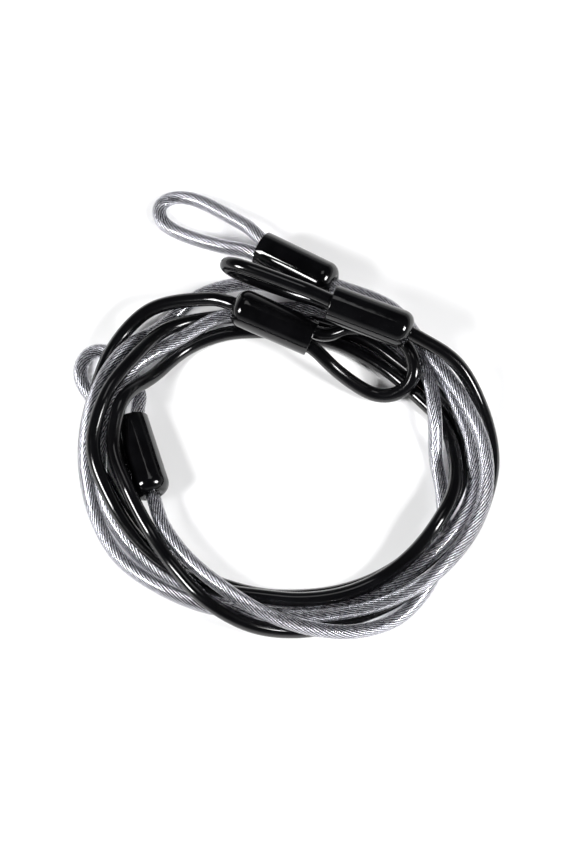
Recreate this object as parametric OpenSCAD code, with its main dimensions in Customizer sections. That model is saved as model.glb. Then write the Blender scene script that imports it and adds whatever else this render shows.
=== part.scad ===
// Two looped-end security cables coiled together, one in a clear jacket and one in a black jacket.
// Each cable is a wire rope in a plastic jacket: twelve outer wires round an inner core of seven.
// At each end it turns back on itself to make a loop, a crimped ferrule holds the two strands side
// by side, and an end cap covers it.
// Origin: the middle of the whole footprint, on the surface that the cables lie on. +Z is up.

/* [Cable] */
// Outside diameter of the plastic jacket
cable_d = 8; // [6:0.1:8]
// Diameter of the wire rope inside the jacket
rope_d = 5; // [3:0.1:5.2]
// Play between the rope and the jacket, and between strands that touch
play = 0.1; // [0.05:0.01:0.12]

/* [End cap] */
// Length of an end cap, from its closed end to its mouth
cap_l = 47; // [44:0.5:50]
// Outside diameter of an end cap below its shoulder
cap_d = 21.4; // [20.8:0.1:21.4]
// Outside diameter of an end cap at its mouth
mouth_d = 20.8; // [20.6:0.1:21]
// Wall thickness of an end cap
cap_wall = 1.2; // [0.8:0.1:1.2]
// Radius of the round shoulder at the closed end
shoulder_r = 6.5; // [4:0.5:6.5]

/* [Ferrule] */
// Length of the crimped ferrule
ferrule_l = 20; // [12:1:20]
// Metal left outside each cable in the ferrule
ferrule_wall = 0.6; // [0.4:0.1:0.6]
// Depth of the press marks on the two broad sides
press_depth = 0.3; // [0.1:0.05:0.3]
// Number of press marks on a side
press_marks = 3; // [1:1:4]

/* [Hidden] */

COIL_AT = [8.6, -28.2, 0];         // middle of the coil, which every place below is measured from
sides = 8;                         // sides of every swept tube
coil_step = 15;                    // degrees between two stations of a coil, clockwise
jacket_r = cable_d / 2 - play;     // outer corner radius of a jacket tube
rope_r = rope_d / 2;               // outer corner radius of the rope
core_r = 0.3 * rope_d;             // outer corner radius of the seven inner wires
bore_r = cable_d / 2 + play;       // hole for the cable in a ferrule or an end cap
strand_y = bore_r + play;          // each strand's distance from the cap's axis in the ferrule
ferrule_x = 21;                    // where the ferrule starts, from the cap's closed end
floor_t = 3;                       // thickness of the cap's closed end
lip_r = 0.5;                       // rounding of the cap's mouth
press_r = 2.4;                     // radius of a press mark
fine = 64;                         // facets of round parts

// How the standing strand enters a cap, and where the cut strand ends, as
// [distance from the closed end, share of strand_y].
LEAD_IN = [[3, 0], [10, 0.25], [16, 0.82], [21, 1], [30, 1], [40, 1]];
LEAD_OUT = [[40, -1], [30, -1], [19, -1]];

// Where each cap lies: its closed end, its rotation, and the side that the standing strand takes.
// Then its loop, from the standing strand round to the cut strand, measured from the mouth.
CLEAR_END_1 = [[18, 97, 19.5], [0, 7, 149], 1];
CLEAR_LOOP_1 = [[6, 4.8, 0], [18, 8.5, 0], [36, 12, -0.5], [52, 13, -1], [61, 10.5, -1.3],
    [66, 3.5, -1.5], [62, -4.5, -1.5], [51, -9, -1], [36, -9.5, -0.5], [19, -7.5, 0], [6, -4.8, 0]];
CLEAR_END_2 = [[-80.5, -25, 14.5], [0, 5, 107], 1];
CLEAR_LOOP_2 = [[4, 5, -0.5], [12, 10.5, -4.5], [24, 16.5, -4.2], [36, 18.5, -3.1], [45, 14, -2.3],
    [48, 6, -2], [42, -3.5, -2.7], [30, -8.5, -3.7], [14, -7.5, -4.5], [5, -4.6, -0.5]];
BLACK_END_1 = [[60, 63, 32], [82, -6, 160], -1];
BLACK_LOOP_1 = [[6, -4.6, 0], [18, -9, 0], [33, -12, 0], [47, -12.5, 0], [56, -10.5, 0],
    [61, -3.5, 0], [56, 4, 0], [46, 6.5, 0], [33, 7, 0], [18, 6, 0], [6, 4.4, 0]];
BLACK_END_2 = [[-37, 82, 27.6], [0, 9, -22], 1];
BLACK_LOOP_2 = [[6, 5, 0], [16, 14, 0], [32, 19, 2], [46, 18, 5], [54, 12, 7], [59, 4, 6],
    [59, -4, 2], [52, -11, -4], [43, -13, -7], [31, -12, -6], [18, -9, -3], [6, -5, 0]];

// The turns of each coil, as [radius, height of the cable's middle] at each station.
CLEAR_START = 60;
CLEAR_TURNS = [
    [99, 14], [93, 13], [91, 18], [94, 20], [100, 18], [103, 16], [102, 17], [101, 21],
    [97, 16], [93, 12], [92, 12], [93, 11], [100, 11], [107, 10], [114, 5], [117, 4],
    [118, 13.5], [116.5, 22], [113.5, 19.5], [109.5, 5], [112, 4], [108, 4], [99, 4], [96, 4],
    [95, 4], [93, 4], [91, 9], [91, 12], [94, 12], [96, 11], [93, 12], [90, 11],
    [89, 6], [87, 4], [88, 4], [90, 4], [95, 4], [100, 4], [105, 6], [110, 10],
    [110, 15], [109.5, 16], [104, 12.5], [95.5, 10.5], [92, 13], [87, 12], [86, 11], [88, 7],
    [87, 6], [86, 9], [82, 13], [76, 13], [74, 5], [80, 4], [89, 4], [99, 4],
    [105, 4], [103.5, 8], [99, 16], [94, 21], [89, 21], [87, 19], [86, 17]];
BLACK_START = 30;
BLACK_TURNS = [
    [98.5, 22], [103, 10], [105, 4], [103, 4], [101, 8], [98, 13], [96.5, 8], [95.5, 4],
    [98.5, 5], [101.5, 13.5], [100.5, 22], [96, 22], [94, 19], [96.5, 23], [102, 23], [101, 25.5],
    [93.5, 10], [91, 4], [85, 4], [78, 4], [73, 4], [71, 4], [70, 4], [71, 4],
    [74, 4], [81, 4], [84, 10], [86, 18], [85, 22], [84, 17], [83, 12], [83, 12],
    [83, 12], [84, 12], [89, 11], [95, 11], [101, 13], [107, 19], [113, 24], [110, 28],
    [105.5, 22.5], [104.5, 11.5], [96, 4.5], [87, 4], [82, 4], [79, 4], [79, 4], [79, 4],
    [83, 4], [89, 4], [90, 4], [87, 10], [84, 13], [82, 6], [80, 4], [79, 4],
    [79, 4], [81, 4], [84, 4], [90, 4], [96, 4], [103, 4], [112, 6], [117, 12.5],
    [121, 11.5], [118, 16], [100, 24]];

CLEAR_CABLE = cable(CLEAR_END_1, CLEAR_LOOP_1, CLEAR_START, CLEAR_TURNS, CLEAR_END_2, CLEAR_LOOP_2);
BLACK_CABLE = cable(BLACK_END_1, BLACK_LOOP_1, BLACK_START, BLACK_TURNS, BLACK_END_2, BLACK_LOOP_2);
CLEAR_SPLIT = splits(CLEAR_CABLE, CLEAR_LOOP_1, CLEAR_LOOP_2);
BLACK_SPLIT = splits(BLACK_CABLE, BLACK_LOOP_1, BLACK_LOOP_2);

CLEAR_PLASTIC = [0.80, 0.84, 0.88];
BLACK_PLASTIC = [0.07, 0.07, 0.08];
STEEL = [0.68, 0.69, 0.72];
ALUMINIUM = [0.76, 0.77, 0.78];

// ---- points, directions and rings along a cable ----

function unit(v) = v / norm(v);

function reverse(list) = [for (i = [len(list) - 1:-1:0]) list[i]];

// The part of v that is square to the direction t.
function square_off(v, t) = unit(v - (v * t) * t);

// rotate(angles) of a point, as a function.
function turned(p, angles) =
    let (
        a = angles[0],
        b = angles[1],
        c = angles[2],
        x_done = [p[0], p[1] * cos(a) - p[2] * sin(a), p[1] * sin(a) + p[2] * cos(a)],
        y_done = [x_done[0] * cos(b) + x_done[2] * sin(b), x_done[1],
            x_done[2] * cos(b) - x_done[0] * sin(b)]
    )
    [y_done[0] * cos(c) - y_done[1] * sin(c), y_done[0] * sin(c) + y_done[1] * cos(c), y_done[2]];

function placed(end, p) = COIL_AT + end[0] + turned(p, end[1]);

// The doubled-back end of a cable, from inside the cap's closed end to the cut.
function end_points(end, loop) = concat(
    [for (p = LEAD_IN) placed(end, [p[0], p[1] * strand_y * end[2], 0])],
    [for (p = loop) placed(end, [p[0] + cap_l, p[1], p[2]])],
    [for (p = LEAD_OUT) placed(end, [p[0], p[1] * strand_y * end[2], 0])]);

function coil_points(start, turns) = [
    for (i = [0:len(turns) - 1])
        let (a = start - coil_step * i)
        COIL_AT + [turns[i][0] * cos(a), turns[i][0] * sin(a), turns[i][1]]];

function directions(points) = let (last = len(points) - 1) [
    for (i = [0:last])
        i == 0 ? unit(points[1] - points[0]) :
        i == last ? unit(points[last] - points[last - 1]) :
        unit(unit(points[i + 1] - points[i]) + unit(points[i] - points[i - 1]))];

// A vector square to each direction, carried along without twisting, starting from straight up.
function carried(dirs) = [
    for (i = 0, u = square_off([0, 0, 1], dirs[0]); i < len(dirs);
        u = square_off(u, dirs[min(i + 1, len(dirs) - 1)]), i = i + 1) u];

// A whole cable from cut end to cut end, as [points, directions, cross vectors].
function cable(end_1, loop_1, start, turns, end_2, loop_2) =
    let (
        first = reverse(end_points(end_1, loop_1)),
        last = end_points(end_2, loop_2),
        middle = concat([placed(end_1, [0, 0, 0])], coil_points(start, turns), [placed(end_2, [0, 0, 0])]),
        points = concat(first, middle, last),
        dirs = directions(points),
        n_1 = len(first),
        n_2 = len(points) - len(last),
        crosses = concat(
            reverse(carried([for (i = [n_1 - 1:-1:0]) dirs[i]])),
            [for (i = [n_1:n_2 - 1]) square_off([0, 0, 1], dirs[i])],
            carried([for (i = [n_2:len(points) - 1]) dirs[i]]))
    )
    [points, dirs, crosses];

// The stations where the loops hand over to the coil, inside the two caps, and the last station.
function splits(c, loop_1, loop_2) =
    let (leads = len(LEAD_IN) + len(LEAD_OUT), last = len(c[0]) - 1)
    [len(loop_1) + leads - 1, last - len(loop_2) - leads + 1, last];

function ring(c, i, r) = [
    for (k = [0:sides - 1])
        let (a = 360 / sides * k)
        c[0][i] + r * (cos(a) * c[2][i] + sin(a) * cross(c[1][i], c[2][i]))];

function rings(c, from, to, r) = [for (i = [from:to], p = ring(c, i, r)) p];

// Triangles of a swept skin of n rings whose first point is number base.
function skin(n, base, inward) = [
    for (i = [0:n - 2], k = [0:sides - 1])
        let (
            a = base + i * sides + k,
            b = base + i * sides + (k + 1) % sides
        )
        each inward ? [[a, b, a + sides], [b, b + sides, a + sides]]
            : [[a, a + sides, b], [b, a + sides, b + sides]]];

// Triangles of the flat ring between an outer and an inner edge.
function rim(outer, inner, flipped) = [
    for (k = [0:sides - 1])
        let (m = (k + 1) % sides)
        each flipped ? [[outer + k, inner + k, outer + m], [outer + m, inner + k, inner + m]]
            : [[outer + k, outer + m, inner + k], [outer + m, inner + m, inner + k]]];

// ---- swept solids ----

module tube(c, from, to, r_out, r_in) {
    n = to - from + 1;
    count = n * sides;
    polyhedron(
        points = concat(rings(c, from, to, r_out), rings(c, from, to, r_in)),
        faces = concat(
            skin(n, 0, false),
            skin(n, count, true),
            rim(0, count, false),
            rim(count - sides, 2 * count - sides, true)));
}

module rod(c, from, to, r) {
    n = to - from + 1;
    polyhedron(
        points = rings(c, from, to, r),
        faces = concat(
            skin(n, 0, false),
            [[for (k = [0:sides - 1]) k]],
            [[for (k = [sides - 1:-1:0]) (n - 1) * sides + k]]));
}

// ---- sub-parts ----

module jacket(c, from, to, shade) {
    color(shade)
        tube(c, from, to, jacket_r, rope_r + play);
}

// The twelve outer wires of the rope, as the sleeve that they fill.
module rope_outer_wires(c, split) {
    color(STEEL)
        tube(c, 0, split[2], rope_r, core_r + play / 2);
}

// The seven inner wires of the rope, as the rod that they fill.
module rope_inner_wires(c, split) {
    color(STEEL)
        rod(c, 0, split[2], core_r);
}

// A flat oval sleeve with a bore for each strand and press marks across its broad sides.
module ferrule(end) {
    outer_r = bore_r + ferrule_wall;
    pitch = ferrule_l / (press_marks + 1);
    color(ALUMINIUM)
        translate(COIL_AT + end[0])
            rotate(end[1])
                translate([ferrule_x, 0, 0])
                    difference() {
                        union() {
                            for (y = [-strand_y, strand_y])
                                translate([0, y, 0])
                                    rotate([0, 90, 0])
                                        cylinder(h = ferrule_l, r = outer_r, $fn = fine);
                            translate([0, -strand_y, -outer_r])
                                cube([ferrule_l, 2 * strand_y, 2 * outer_r]);
                        }
                        for (y = [-strand_y, strand_y])
                            translate([-1, y, 0])
                                rotate([0, 90, 0])
                                    cylinder(h = ferrule_l + 2, r = bore_r, $fn = fine);
                        for (i = [1:press_marks], s = [-1, 1])
                            translate([i * pitch, 0, s * (outer_r - press_depth + press_r)])
                                rotate([90, 0, 0])
                                    cylinder(h = 2 * strand_y, r = press_r, center = true, $fn = fine);
                    }
}

// A soft cup with a round shoulder, a hole for the cable in its closed end and an open mouth.
module end_cap(end) {
    body_r = cap_d / 2;
    mouth_r = mouth_d / 2;
    inner_r = mouth_r - cap_wall;
    inner_shoulder_r = shoulder_r - cap_wall;
    arc_steps = 8;
    profile = concat(
        [[bore_r, 0]],
        [for (i = [0:arc_steps]) let (a = 90 - 90 / arc_steps * i)
            [body_r - shoulder_r + shoulder_r * cos(a), shoulder_r - shoulder_r * sin(a)]],
        [for (i = [0:arc_steps / 2]) let (a = 180 / arc_steps * i)
            [mouth_r - lip_r + lip_r * cos(a), cap_l - lip_r + lip_r * sin(a)]],
        [[inner_r, cap_l]],
        [for (i = [0:arc_steps]) let (a = 90 / arc_steps * i)
            [inner_r - inner_shoulder_r + inner_shoulder_r * cos(a),
                floor_t + inner_shoulder_r - inner_shoulder_r * sin(a)]],
        [[bore_r, floor_t]]);
    color(BLACK_PLASTIC)
        translate(COIL_AT + end[0])
            rotate(end[1])
                rotate([0, 90, 0])
                    rotate_extrude($fn = fine)
                        polygon(profile);
}

jacket(CLEAR_CABLE, CLEAR_SPLIT[0], CLEAR_SPLIT[1], CLEAR_PLASTIC);  // clear_jacket_coil
jacket(CLEAR_CABLE, 0, CLEAR_SPLIT[0], CLEAR_PLASTIC);  // clear_jacket_loop_1
jacket(CLEAR_CABLE, CLEAR_SPLIT[1], CLEAR_SPLIT[2], CLEAR_PLASTIC);  // clear_jacket_loop_2
rope_outer_wires(CLEAR_CABLE, CLEAR_SPLIT);  // clear_rope_outer_wires
rope_inner_wires(CLEAR_CABLE, CLEAR_SPLIT);  // clear_rope_inner_wires
ferrule(CLEAR_END_1);  // clear_ferrule_1
ferrule(CLEAR_END_2);  // clear_ferrule_2
end_cap(CLEAR_END_1);  // clear_end_cap_1
end_cap(CLEAR_END_2);  // clear_end_cap_2
jacket(BLACK_CABLE, BLACK_SPLIT[0], BLACK_SPLIT[1], BLACK_PLASTIC);  // black_jacket_coil
jacket(BLACK_CABLE, 0, BLACK_SPLIT[0], BLACK_PLASTIC);  // black_jacket_loop_1
jacket(BLACK_CABLE, BLACK_SPLIT[1], BLACK_SPLIT[2], BLACK_PLASTIC);  // black_jacket_loop_2
rope_outer_wires(BLACK_CABLE, BLACK_SPLIT);  // black_rope_outer_wires
rope_inner_wires(BLACK_CABLE, BLACK_SPLIT);  // black_rope_inner_wires
ferrule(BLACK_END_1);  // black_ferrule_1
ferrule(BLACK_END_2);  // black_ferrule_2
end_cap(BLACK_END_1);  // black_end_cap_1
end_cap(BLACK_END_2);  // black_end_cap_2
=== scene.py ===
"""Looks for a coiled pair of looped-end security cables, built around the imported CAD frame.

One cable has a clear jacket over its wire rope and one has a black jacket. The route of each cable
repeats the points of the CAD part, in millimetres here and in metres once it is laid out.
"""
import math

import bpy
import numpy as np
from mathutils import Euler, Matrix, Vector


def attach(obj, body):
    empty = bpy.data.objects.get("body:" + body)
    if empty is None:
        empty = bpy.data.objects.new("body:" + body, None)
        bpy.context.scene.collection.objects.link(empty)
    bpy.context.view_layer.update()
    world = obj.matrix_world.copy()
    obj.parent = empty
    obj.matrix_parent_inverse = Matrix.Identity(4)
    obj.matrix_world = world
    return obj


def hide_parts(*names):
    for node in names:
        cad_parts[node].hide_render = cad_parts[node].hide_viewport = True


MM = 0.001
BODY = "root"

# ---- sizes, in millimetres ----
CABLE_D = 8.0
ROPE_D = 5.0
SAMPLE_STEP = 2.2                  # spacing of the samples along a route
CAP_L = 47.0
CAP_D = 21.4
MOUTH_D = 20.8
CAP_WALL = 1.2
SHOULDER_R = 6.5
LAY = 43.0                         # length of one turn of the rope's wires
OUTER_WIRES = 12
WIRE_FILL = 0.90                   # an outer wire's size against wires that touch each other
STRAND_Y = 4.2                     # each strand's distance from the cap's axis in the ferrule
COIL_AT = (8.6, -28.2, 0.0)        # middle of the coil
COIL_STEP = 15.0                   # degrees between two stations of a coil, clockwise

# How a strand enters a cap, and where the cut strand ends, as
# (distance from the closed end, share of STRAND_Y).
LEAD_IN = [(3, 0), (10, 0.25), (16, 0.82), (21, 1), (30, 1), (40, 1)]
LEAD_OUT = [(40, -1), (30, -1), (19, -1)]

# Each cap's closed end, its rotation, the side that the standing strand takes, and its loop,
# measured from the mouth.
ENDS = {
    "clear_1": dict(
        at=(18, 97, 19.5), turn=(0, 7, 149), side=1,
        loop=[
            (6, 4.8, 0), (18, 8.5, 0), (36, 12, -0.5), (52, 13, -1), (61, 10.5, -1.3),
            (66, 3.5, -1.5), (62, -4.5, -1.5), (51, -9, -1), (36, -9.5, -0.5), (19, -7.5, 0),
            (6, -4.8, 0)]),
    "clear_2": dict(
        at=(-80.5, -25, 14.5), turn=(0, 5, 107), side=1,
        loop=[
            (4, 5, -0.5), (12, 10.5, -4.5), (24, 16.5, -4.2), (36, 18.5, -3.1), (45, 14, -2.3),
            (48, 6, -2), (42, -3.5, -2.7), (30, -8.5, -3.7), (14, -7.5, -4.5), (5, -4.6, -0.5)]),
    "black_1": dict(
        at=(60, 63, 32), turn=(82, -6, 160), side=-1,
        loop=[
            (6, -4.6, 0), (18, -9, 0), (33, -12, 0), (47, -12.5, 0), (56, -10.5, 0),
            (61, -3.5, 0), (56, 4, 0), (46, 6.5, 0), (33, 7, 0), (18, 6, 0),
            (6, 4.4, 0)]),
    "black_2": dict(
        at=(-37, 82, 27.6), turn=(0, 9, -22), side=1,
        loop=[
            (6, 5, 0), (16, 14, 0), (32, 19, 2), (46, 18, 5), (54, 12, 7),
            (59, 4, 6), (59, -4, 2), (52, -11, -4), (43, -13, -7), (31, -12, -6),
            (18, -9, -3), (6, -5, 0)]),
}

# The turns of each coil, as (radius, height of the cable's middle) at each station.
CLEAR_START = 60
CLEAR_TURNS = [
    (99, 14), (93, 13), (91, 18), (94, 20), (100, 18), (103, 16), (102, 17), (101, 21),
    (97, 16), (93, 12), (92, 12), (93, 11), (100, 11), (107, 10), (114, 5), (117, 4),
    (118, 13.5), (116.5, 22), (113.5, 19.5), (109.5, 5), (112, 4), (108, 4), (99, 4), (96, 4),
    (95, 4), (93, 4), (91, 9), (91, 12), (94, 12), (96, 11), (93, 12), (90, 11),
    (89, 6), (87, 4), (88, 4), (90, 4), (95, 4), (100, 4), (105, 6), (110, 10),
    (110, 15), (109.5, 16), (104, 12.5), (95.5, 10.5), (92, 13), (87, 12), (86, 11), (88, 7),
    (87, 6), (86, 9), (82, 13), (76, 13), (74, 5), (80, 4), (89, 4), (99, 4),
    (105, 4), (103.5, 8), (99, 16), (94, 21), (89, 21), (87, 19), (86, 17)]
BLACK_START = 30
BLACK_TURNS = [
    (98.5, 22), (103, 10), (105, 4), (103, 4), (101, 8), (98, 13), (96.5, 8), (95.5, 4),
    (98.5, 5), (101.5, 13.5), (100.5, 22), (96, 22), (94, 19), (96.5, 23), (102, 23), (101, 25.5),
    (93.5, 10), (91, 4), (85, 4), (78, 4), (73, 4), (71, 4), (70, 4), (71, 4),
    (74, 4), (81, 4), (84, 10), (86, 18), (85, 22), (84, 17), (83, 12), (83, 12),
    (83, 12), (84, 12), (89, 11), (95, 11), (101, 13), (107, 19), (113, 24), (110, 28),
    (105.5, 22.5), (104.5, 11.5), (96, 4.5), (87, 4), (82, 4), (79, 4), (79, 4), (79, 4),
    (83, 4), (89, 4), (90, 4), (87, 10), (84, 13), (82, 6), (80, 4), (79, 4),
    (79, 4), (81, 4), (84, 4), (90, 4), (96, 4), (103, 4), (112, 6), (117, 12.5),
    (121, 11.5), (118, 16), (100, 24)]

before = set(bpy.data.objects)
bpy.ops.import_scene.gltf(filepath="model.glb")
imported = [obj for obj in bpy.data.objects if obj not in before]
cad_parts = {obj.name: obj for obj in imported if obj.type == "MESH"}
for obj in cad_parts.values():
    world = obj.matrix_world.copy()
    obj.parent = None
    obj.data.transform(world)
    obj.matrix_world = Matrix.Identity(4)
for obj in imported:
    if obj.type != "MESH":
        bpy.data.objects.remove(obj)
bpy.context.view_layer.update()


# ---- camera ----

def add_camera():
    """Looks down at the middle of the footprint at the photograph's angle."""
    target = Vector((0.00145, -0.0112, 0.0))
    elevation = math.radians(70)
    distance = 1.6058
    data = bpy.data.cameras.new("camera")
    data.lens = 121.2
    data.clip_end = 10.0
    camera = bpy.data.objects.new("camera", data)
    camera.location = target + distance * Vector((0, -math.cos(elevation), math.sin(elevation)))
    camera.rotation_euler = (math.pi / 2 - elevation, 0, 0)
    bpy.context.scene.collection.objects.link(camera)
    bpy.context.scene.camera = camera


# ---- routes ----

def placed(end, point):
    """A point measured from a cap's closed end, along its axis, in the part's frame."""
    turn = Euler([math.radians(a) for a in end["turn"]]).to_matrix()
    return np.array(COIL_AT) + np.array(end["at"]) + np.array(turn @ Vector(point))


def end_points(end):
    """A cable's doubled-back end, from inside the cap's closed end to the cut."""
    lead_in = [(x, y * STRAND_Y * end["side"], 0) for x, y in LEAD_IN]
    loop = [(x + CAP_L, y, z) for x, y, z in end["loop"]]
    lead_out = [(x, y * STRAND_Y * end["side"], 0) for x, y in LEAD_OUT]
    return [placed(end, p) for p in lead_in + loop + lead_out]


def coil_points(start, turns):
    angles = [math.radians(start - COIL_STEP * i) for i in range(len(turns))]
    return [np.array(COIL_AT) + (r * math.cos(a), r * math.sin(a), h)
            for a, (r, h) in zip(angles, turns)]


def smooth_curve(points, spacing):
    """A curve through the points, sampled at about that spacing, with each sample's place along
    the list of points."""
    points = np.array(points)
    gaps = np.linalg.norm(np.diff(points, axis=0), axis=1)
    slopes = np.zeros_like(points)
    slopes[0] = (points[1] - points[0]) / gaps[0]
    slopes[-1] = (points[-1] - points[-2]) / gaps[-1]
    slopes[1:-1] = (points[2:] - points[:-2]) / (gaps[1:] + gaps[:-1])[:, None]
    samples, places = [], []
    for i, gap in enumerate(gaps):
        count = max(1, math.ceil(gap / spacing))
        s = np.arange(count)[:, None] / count
        samples.append((2 * s**3 - 3 * s**2 + 1) * points[i] + (s**3 - 2 * s**2 + s) * gap * slopes[i]
                       + (3 * s**2 - 2 * s**3) * points[i + 1] + (s**3 - s**2) * gap * slopes[i + 1])
        places.append(i + s[:, 0])
    return np.vstack(samples + [points[-1:]]), np.append(np.concatenate(places), len(gaps))


def cable_route(end_1, start, turns, end_2):
    """The whole cable from cut to cut: its samples, and the samples where each loop meets the coil."""
    first = end_points(end_1)[::-1]
    last = end_points(end_2)
    middle = [placed(end_1, (0, 0, 0))] + coil_points(start, turns) + [placed(end_2, (0, 0, 0))]
    points, places = smooth_curve(first + middle + last, SAMPLE_STEP)
    held = len(LEAD_IN) + 1
    loop_1, loop_2 = len(first) - 1, len(first) + len(middle)
    in_cap = ((np.abs(places - loop_1) < held) | (np.abs(places - loop_2) < held)
              | (places < len(LEAD_OUT)) | (places > places[-1] - len(LEAD_OUT)))
    return dict(points=points, loop_1=int(np.argmin(np.abs(places - loop_1))),
                loop_2=int(np.argmin(np.abs(places - loop_2))), held=in_cap)


def rounded(points):
    """The line with its sharpest bends eased."""
    kernel = np.hanning(7)[1:-1]
    kernel /= kernel.sum()
    eased = points.copy()
    for axis in range(3):
        eased[2:-2, axis] = np.convolve(points[:, axis], kernel, mode="valid")
    return eased


def settle(routes, rounds=24):
    """Moves touching strands apart until they lie a cable's width from each other, from the end
    caps and half of it above the floor, without letting them bend sharply."""
    lengths = [len(r["points"]) for r in routes]
    base = np.vstack([r["points"] for r in routes])
    held = np.concatenate([r["held"] for r in routes])
    which = np.repeat(np.arange(len(routes)), lengths)
    along = np.concatenate([np.arange(n) for n in lengths])
    apart = (which[:, None] != which[None]) | (np.abs(along[:, None] - along[None]) > 12)
    caps = np.array([[placed(end, (x, 0, 0)) for x in np.linspace(3, CAP_L, 24)]
                     for end in ENDS.values()]).reshape(-1, 3)
    cap_gap = CAP_D / 2 + CABLE_D / 2
    kernel = np.hanning(9)[1:-1]
    kernel /= kernel.sum()
    moved = np.zeros_like(base)
    for _ in range(rounds):
        points = base + moved
        squares = (points**2).sum(1)
        reach = squares[:, None] + squares[None] - 2 * points @ points.T
        i, j = np.nonzero((reach < CABLE_D**2) & apart)
        gap = points[i] - points[j]
        size = np.linalg.norm(gap, axis=1)[:, None]
        push = np.zeros_like(base)
        hits = np.ones(len(base))
        np.add.at(push, i, 0.5 * (CABLE_D - size) * gap / size)
        np.add.at(hits, i, 1)
        push /= np.sqrt(hits)[:, None]
        from_caps = points[:, None] - caps[None]
        size = np.linalg.norm(from_caps, axis=2)
        near = size.argmin(1)
        rows = np.arange(len(points))
        depth = np.clip(cap_gap - size[rows, near], 0, None)
        push += depth[:, None] * from_caps[rows, near] / size[rows, near][:, None]
        push[held] = 0
        moved += push
        first = 0
        for n in lengths:
            part = slice(first, first + n)
            for axis in range(3):
                padded = np.pad(moved[part, axis], len(kernel) // 2, mode="edge")
                moved[part, axis] = np.convolve(padded, kernel, mode="valid")
            first += n
        moved[held] *= 0.5
        moved[:, 2] = np.maximum(moved[:, 2], CABLE_D / 2 - base[:, 2])
    first = 0
    for route, n in zip(routes, lengths):
        route["points"] = rounded((base + moved)[first:first + n]) * MM
        first += n


def resampled(points, spacing):
    """The same line with its points evenly spaced."""
    lengths = np.append(0, np.cumsum(np.linalg.norm(np.diff(points, axis=0), axis=1)))
    wanted = np.linspace(0, lengths[-1], max(3, round(lengths[-1] / spacing) + 1))
    return np.stack([np.interp(wanted, lengths, points[:, k]) for k in range(3)], axis=1)


def directions(points):
    steps = np.gradient(points, axis=0)
    return steps / np.linalg.norm(steps, axis=1)[:, None]


def carried(dirs):
    """A vector square to each direction, carried along the line without twisting."""
    crosses = np.empty_like(dirs)
    u = np.array([0.0, 0.0, 1.0])
    for i, d in enumerate(dirs):
        u = u - (u @ d) * d
        u /= np.linalg.norm(u)
        crosses[i] = u
    return crosses


# ---- meshes ----

def new_piece(name, verts, faces, uvs, material, replaced=()):
    """A smooth-shaded mesh piece with a map of (turns round, metres along)."""
    mesh = bpy.data.meshes.new(name)
    mesh.from_pydata([tuple(v) for v in verts], [], faces)
    mesh.polygons.foreach_set("use_smooth", [True] * len(mesh.polygons))
    layer = mesh.uv_layers.new(name="along")
    layer.data.foreach_set("uv", np.array(uvs, np.float32).ravel())
    mesh.materials.append(material)
    mesh.validate()
    piece = bpy.data.objects.new(name, mesh)
    bpy.context.scene.collection.objects.link(piece)
    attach(piece, BODY)
    if replaced:
        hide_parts(*replaced)
    return piece


class Builder:
    """Collects swept tubes into one mesh."""

    def __init__(self):
        self.verts, self.faces, self.uvs = [], [], []

    def sweep(self, centres, out, across, radius, sides, lane=0.0):
        """A closed tube. out and across are each ring's two directions."""
        base = len(self.verts)
        angles = 2 * math.pi * np.arange(sides) / sides
        rings = (centres[:, None] + radius * (np.cos(angles)[None, :, None] * out[:, None]
                                              + np.sin(angles)[None, :, None] * across[:, None]))
        self.verts.extend(rings.reshape(-1, 3))
        along = np.append(0, np.cumsum(np.linalg.norm(np.diff(centres, axis=0), axis=1)))
        rows = len(centres)
        for i in range(rows - 1):
            for k in range(sides):
                m = (k + 1) % sides
                self.faces.append((base + i * sides + k, base + i * sides + m,
                                   base + (i + 1) * sides + m, base + (i + 1) * sides + k))
                u0, u1 = lane + k / sides, lane + (k + 1) / sides
                self.uvs += [(u0, along[i]), (u1, along[i]), (u1, along[i + 1]), (u0, along[i + 1])]
        self.faces.append(tuple(base + k for k in reversed(range(sides))))
        self.faces.append(tuple(base + (rows - 1) * sides + k for k in range(sides)))
        self.uvs += [(lane, 0.0)] * sides + [(lane, along[-1])] * sides


def jacket_piece(name, points, material, replaced):
    builder = Builder()
    points = resampled(points, 2.0 * MM)
    dirs = directions(points)
    out = carried(dirs)
    builder.sweep(points, out, np.cross(dirs, out), CABLE_D / 2 * MM, 20)
    return new_piece(name, builder.verts, builder.faces, builder.uvs, material, replaced), points


def wires_piece(name, points, layers, spacing, sides, material, replaced):
    """Helical wires laid right-handed round the line. layers are (count, helix radius, wire radius)."""
    builder = Builder()
    points = resampled(points, spacing)
    dirs = directions(points)
    out = carried(dirs)
    across = np.cross(dirs, out)
    along = np.append(0, np.cumsum(np.linalg.norm(np.diff(points, axis=0), axis=1)))
    for lane_base, (count, helix_r, wire_r) in enumerate(layers):
        for w in range(count):
            turn = 2 * math.pi * (along / (LAY * MM) + w / count)
            radial = np.cos(turn)[:, None] * out + np.sin(turn)[:, None] * across
            centres = points + helix_r * MM * radial
            binormal = np.cross(directions(centres), radial)
            binormal /= np.linalg.norm(binormal, axis=1)[:, None]
            builder.sweep(centres, radial, binormal, wire_r * MM, sides, lane=float(w + 20 * lane_base))
    return new_piece(name, builder.verts, builder.faces, builder.uvs, material, replaced)


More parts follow.
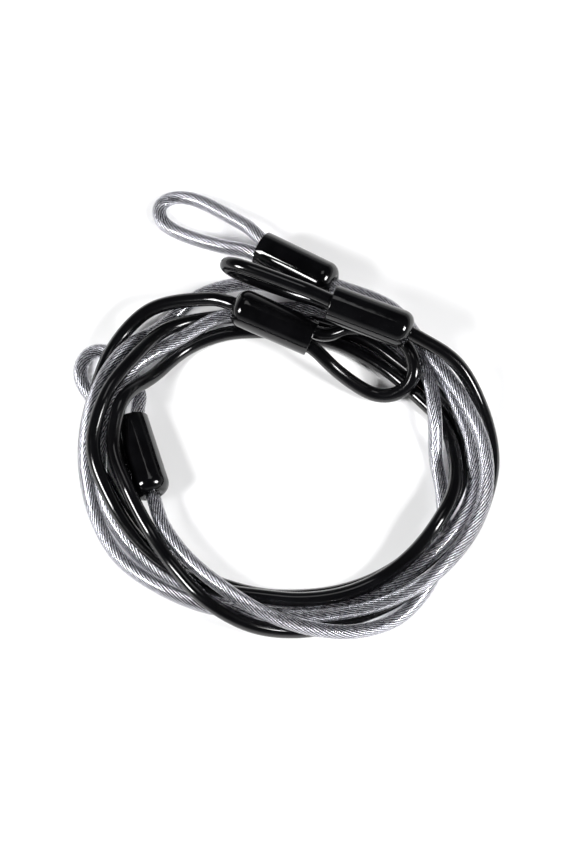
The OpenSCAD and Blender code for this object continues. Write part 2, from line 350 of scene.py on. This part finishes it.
def cap_outline():
    """The end cap's outline as (distance from the closed end, radius), in millimetres: out of the
    cable hole, over the shoulder, along the body to the rolled mouth, and back inside."""
    body_r, mouth_r = CAP_D / 2, MOUTH_D / 2
    hole_r = CABLE_D / 2 + 0.05
    inner_r = mouth_r - CAP_WALL
    lip_r = CAP_WALL / 2
    line = [(3.0, hole_r), (0.6, hole_r), (0.0, hole_r + 0.25), (-0.1, hole_r + 0.7), (0.15, hole_r + 1.15)]
    for i in range(13):
        a = math.radians(82 - 82 * i / 12)
        line.append((SHOULDER_R - SHOULDER_R * math.sin(a),
                     body_r - SHOULDER_R + SHOULDER_R * math.cos(a)))
    for i in range(1, 12):
        t = i / 12
        line.append((SHOULDER_R + t * (CAP_L - 1.6 - SHOULDER_R), body_r + t * (mouth_r - body_r)))
    for i in range(9):
        a = math.radians(90 - 180 * i / 8)
        line.append((CAP_L - lip_r + lip_r * math.cos(a), mouth_r - lip_r + lip_r * math.sin(a)))
    line += [(CAP_L - 2.5, inner_r), (20.0, inner_r), (9.0, inner_r - 0.3), (4.5, inner_r - 3.0),
             (3.2, hole_r + 1.0)]
    return line


def cap_piece(name, end, material):
    """A dipped vinyl cup, turned about the cap's axis, with the hand-formed unevenness of the dip."""
    segments = 72
    outline = cap_outline()
    rows = len(outline)
    verts, faces, uvs = [], [], []
    for x, r in outline:
        for k in range(segments):
            a = 2 * math.pi * k / segments
            swell = 1 + 0.004 * math.sin(2 * a + end["turn"][2]) * min(1.0, max(0.0, x / 20))
            verts.append(Vector(placed(end, (x, r * swell * math.cos(a), r * swell * math.sin(a)))) * MM)
    for i in range(rows):
        j = (i + 1) % rows
        for k in range(segments):
            m = (k + 1) % segments
            faces.append((i * segments + k, j * segments + k, j * segments + m, i * segments + m))
            u0, u1 = k / segments, (k + 1) / segments
            v0, v1 = i / rows, (i + 1) / rows
            uvs += [(u0, v0), (u0, v1), (u1, v1), (u1, v0)]
    return new_piece(name, verts, faces, uvs, material, [name.replace("vinyl", "end")])


# ---- materials ----

def new_material(name, **sockets):
    """A Principled material. Returns it with its nodes, its links and its shader."""
    material = bpy.data.materials.new(name)
    material.use_nodes = True
    nodes, links = material.node_tree.nodes, material.node_tree.links
    shader = nodes["Principled BSDF"]
    for socket, value in sockets.items():
        shader.inputs[socket.replace("_", " ")].default_value = value
    return material, nodes, links, shader


def noise(nodes, links, scale, detail, stretch=None):
    """Noise in object space, or along the cable when stretch gives the map's scale."""
    texture = nodes.new("ShaderNodeTexNoise")
    texture.inputs["Scale"].default_value = scale
    texture.inputs["Detail"].default_value = detail
    coordinates = nodes.new("ShaderNodeTexCoord" if stretch is None else "ShaderNodeUVMap")
    source = coordinates.outputs["Object"] if stretch is None else coordinates.outputs["UV"]
    if stretch is not None:
        coordinates.uv_map = "along"
        mapping = nodes.new("ShaderNodeMapping")
        mapping.inputs["Scale"].default_value = stretch
        links.new(source, mapping.inputs["Vector"])
        source = mapping.outputs["Vector"]
    links.new(source, texture.inputs["Vector"])
    return texture.outputs["Fac"]


def ramp(nodes, links, source, low, high, start=0.35, stop=0.65):
    """Turns a value into colours or greys from low to high."""
    node = nodes.new("ShaderNodeValToRGB")
    for element, place, colour in zip(node.color_ramp.elements, (start, stop), (low, high)):
        element.position = place
        element.color = (*colour, 1.0) if isinstance(colour, tuple) else (colour, colour, colour, 1.0)
    links.new(source, node.inputs["Fac"])
    return node.outputs["Color"]


def bump(nodes, links, shader, height, distance, strength=1.0):
    node = nodes.new("ShaderNodeBump")
    node.inputs["Distance"].default_value = distance
    node.inputs["Strength"].default_value = strength
    links.new(height, node.inputs["Height"])
    links.new(node.outputs["Normal"], shader.inputs["Normal"])


def black_jacket_material():
    material, nodes, links, shader = new_material("black_pvc", Specular_IOR_Level=0.5, IOR=1.5)
    blotches = noise(nodes, links, 60.0, 3.0)
    links.new(ramp(nodes, links, blotches, (0.0012, 0.0012, 0.0014), (0.0025, 0.0025, 0.003)),
              shader.inputs["Base Color"])
    scuffs = noise(nodes, links, 1.0, 4.0, stretch=(8.0, 90.0, 1.0))
    links.new(ramp(nodes, links, scuffs, 0.08, 0.16), shader.inputs["Roughness"])
    bump(nodes, links, shader, noise(nodes, links, 1.0, 2.0, stretch=(3.0, 60.0, 1.0)), 0.0003, 0.25)
    return material


def vinyl_material():
    material, nodes, links, shader = new_material("black_vinyl", Specular_IOR_Level=0.5, IOR=1.5)
    blotches = noise(nodes, links, 90.0, 3.0)
    links.new(ramp(nodes, links, blotches, (0.0010, 0.0010, 0.0012), (0.0022, 0.0022, 0.0026)),
              shader.inputs["Base Color"])
    links.new(ramp(nodes, links, noise(nodes, links, 140.0, 4.0), 0.06, 0.13), shader.inputs["Roughness"])
    bump(nodes, links, shader, noise(nodes, links, 110.0, 1.5), 0.0003, 0.2)
    return material


def clear_jacket_material():
    """Clear plastic in one solid with the rope inside it. Lamps shine through it to the rope."""
    material, nodes, links, shader = new_material(
        "clear_pvc", Base_Color=(0.97, 0.97, 1.0, 1.0), Transmission_Weight=1.0, IOR=1.5)
    haze = noise(nodes, links, 1.0, 3.0, stretch=(4.0, 120.0, 1.0))
    links.new(ramp(nodes, links, haze, 0.01, 0.05), shader.inputs["Roughness"])
    bump(nodes, links, shader, noise(nodes, links, 1.0, 2.0, stretch=(3.0, 90.0, 1.0)), 0.0002, 0.15)
    clear = nodes.new("ShaderNodeBsdfTransparent")
    clear.inputs["Color"].default_value = (0.92, 0.92, 0.94, 1.0)
    path = nodes.new("ShaderNodeLightPath")
    mix = nodes.new("ShaderNodeMixShader")
    links.new(path.outputs["Is Shadow Ray"], mix.inputs["Fac"])
    links.new(shader.outputs["BSDF"], mix.inputs[1])
    links.new(clear.outputs["BSDF"], mix.inputs[2])
    links.new(mix.outputs["Shader"], nodes["Material Output"].inputs["Surface"])
    return material


def wire_material():
    """Bright wire with painted shade: its colour is painted dark away from each wire's outward crest, down
    in the grooves between one wire and the next.
    """
    material, nodes, links, shader = new_material("rope_wire", Metallic=1.0)
    coordinates = nodes.new("ShaderNodeUVMap")
    coordinates.uv_map = "along"
    split = nodes.new("ShaderNodeSeparateXYZ")
    painted_groove_shade = nodes.new("ShaderNodeMath")
    painted_groove_shade.operation = "PINGPONG"
    painted_groove_shade.inputs[1].default_value = 0.5
    links.new(coordinates.outputs["UV"], split.inputs["Vector"])
    links.new(split.outputs["X"], painted_groove_shade.inputs[0])
    # painted shade: the base colour goes from bright steel at the wire's crest to near black on its inner
    # side, as shade in the grooves
    links.new(ramp(nodes, links, painted_groove_shade.outputs["Value"], (0.62, 0.62, 0.65), (0.04, 0.04, 0.045),
                   0.07, 0.19), shader.inputs["Base Color"])
    links.new(ramp(nodes, links, noise(nodes, links, 1.0, 3.0, stretch=(9.0, 400.0, 1.0)), 0.22, 0.32),
              shader.inputs["Roughness"])
    return material


def ferrule_material():
    material, nodes, links, shader = new_material("ferrule_metal", Metallic=1.0)
    dull = noise(nodes, links, 300.0, 4.0)
    links.new(ramp(nodes, links, dull, (0.55, 0.56, 0.58), (0.78, 0.79, 0.80)), shader.inputs["Base Color"])
    links.new(ramp(nodes, links, dull, 0.35, 0.55), shader.inputs["Roughness"])
    bump(nodes, links, shader, noise(nodes, links, 900.0, 2.0), 0.0001, 0.4)
    return material


# ---- the object ----


def add_cable(name, route, jacket, wire):
    """One cable: the jacket of its coil and loops, and the rope inside the whole of it."""
    points, a, b = route["points"], route["loop_1"], route["loop_2"]
    jackets = [
        jacket_piece(name + "_coil", points[a:b + 1], jacket, [name + "_jacket_coil"]),
        jacket_piece(name + "_loop_1", points[:a + 1], jacket, [name + "_jacket_loop_1"]),
        jacket_piece(name + "_loop_2", points[b:], jacket, [name + "_jacket_loop_2"]),
    ]
    rope_r = ROPE_D / 2
    half_step = math.sin(math.pi / OUTER_WIRES)
    outer_wire_r = rope_r * half_step / (1 + half_step) * WIRE_FILL
    core_r = rope_r - 2 * outer_wire_r
    wires_piece(name + "_outer_wires", points, [(OUTER_WIRES, rope_r - outer_wire_r, outer_wire_r)],
                2.4 * MM, 8, wire, [name + "_rope_outer_wires"])
    wires_piece(name + "_inner_wires", points, [(1, 0.0, core_r / 3), (6, core_r * 2 / 3, core_r / 3)],
                4.0 * MM, 6, wire, [name + "_rope_inner_wires"])


def add_floor():
    size = 4.0
    mesh = bpy.data.meshes.new("floor")
    mesh.from_pydata([(-size, -size, 0), (size, -size, 0), (size, size, 0), (-size, size, 0)],
                     [], [(0, 1, 2, 3)])
    material, nodes, links, shader = new_material("floor", Roughness=0.9)
    grain = noise(nodes, links, 3.0, 2.0)
    links.new(ramp(nodes, links, grain, (0.90, 0.90, 0.90), (0.93, 0.93, 0.93)),
              shader.inputs["Base Color"])
    mesh.materials.append(material)
    floor = bpy.data.objects.new("floor", mesh)
    bpy.context.scene.collection.objects.link(floor)


def add_softbox(name, place, size, power):
    """A square lamp facing the middle of the coil."""
    data = bpy.data.lights.new(name, "AREA")
    data.size = size
    data.energy = power
    lamp = bpy.data.objects.new(name, data)
    lamp.location = place
    lamp.rotation_euler = (-Vector(place)).to_track_quat("-Z", "Y").to_euler()
    bpy.context.scene.collection.objects.link(lamp)


def add_lights():
    add_softbox("key_left", (-0.77, -0.33, 0.72), 0.34, 15.0)
    add_softbox("key_right", (0.77, -0.33, 0.72), 0.34, 15.0)
    add_softbox("top", (0.06, 0.42, 1.12), 0.40, 0.7)
    world = bpy.data.worlds.new("studio")
    bpy.context.scene.world = world
    world.use_nodes = True
    nodes, links = world.node_tree.nodes, world.node_tree.links
    coordinates = nodes.new("ShaderNodeTexCoord")
    split = nodes.new("ShaderNodeSeparateXYZ")
    links.new(coordinates.outputs["Generated"], split.inputs["Vector"])
    sky = ramp(nodes, links, split.outputs["Z"], (0.75, 0.75, 0.76), (0.03, 0.03, 0.035), 0.0, 0.4)
    links.new(sky, nodes["Background"].inputs["Color"])
    nodes["Background"].inputs["Strength"].default_value = 1.0


add_camera()
clear_route = cable_route(ENDS["clear_1"], CLEAR_START, CLEAR_TURNS, ENDS["clear_2"])
black_route = cable_route(ENDS["black_1"], BLACK_START, BLACK_TURNS, ENDS["black_2"])
settle([clear_route, black_route])
wire = wire_material()
add_cable("clear", clear_route, clear_jacket_material(), wire)
add_cable("black", black_route, black_jacket_material(), wire)
vinyl = vinyl_material()
for key in ENDS:
    colour, number = key.split("_")
    cap_piece(f"{colour}_vinyl_cap_{number}", ENDS[key], vinyl)
ferrule = ferrule_material()
for name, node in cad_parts.items():
    if "ferrule" in name:
        node.data.materials.clear()
        node.data.materials.append(ferrule)
add_floor()
add_lights()
bpy.context.scene.view_settings.view_transform = "Standard"
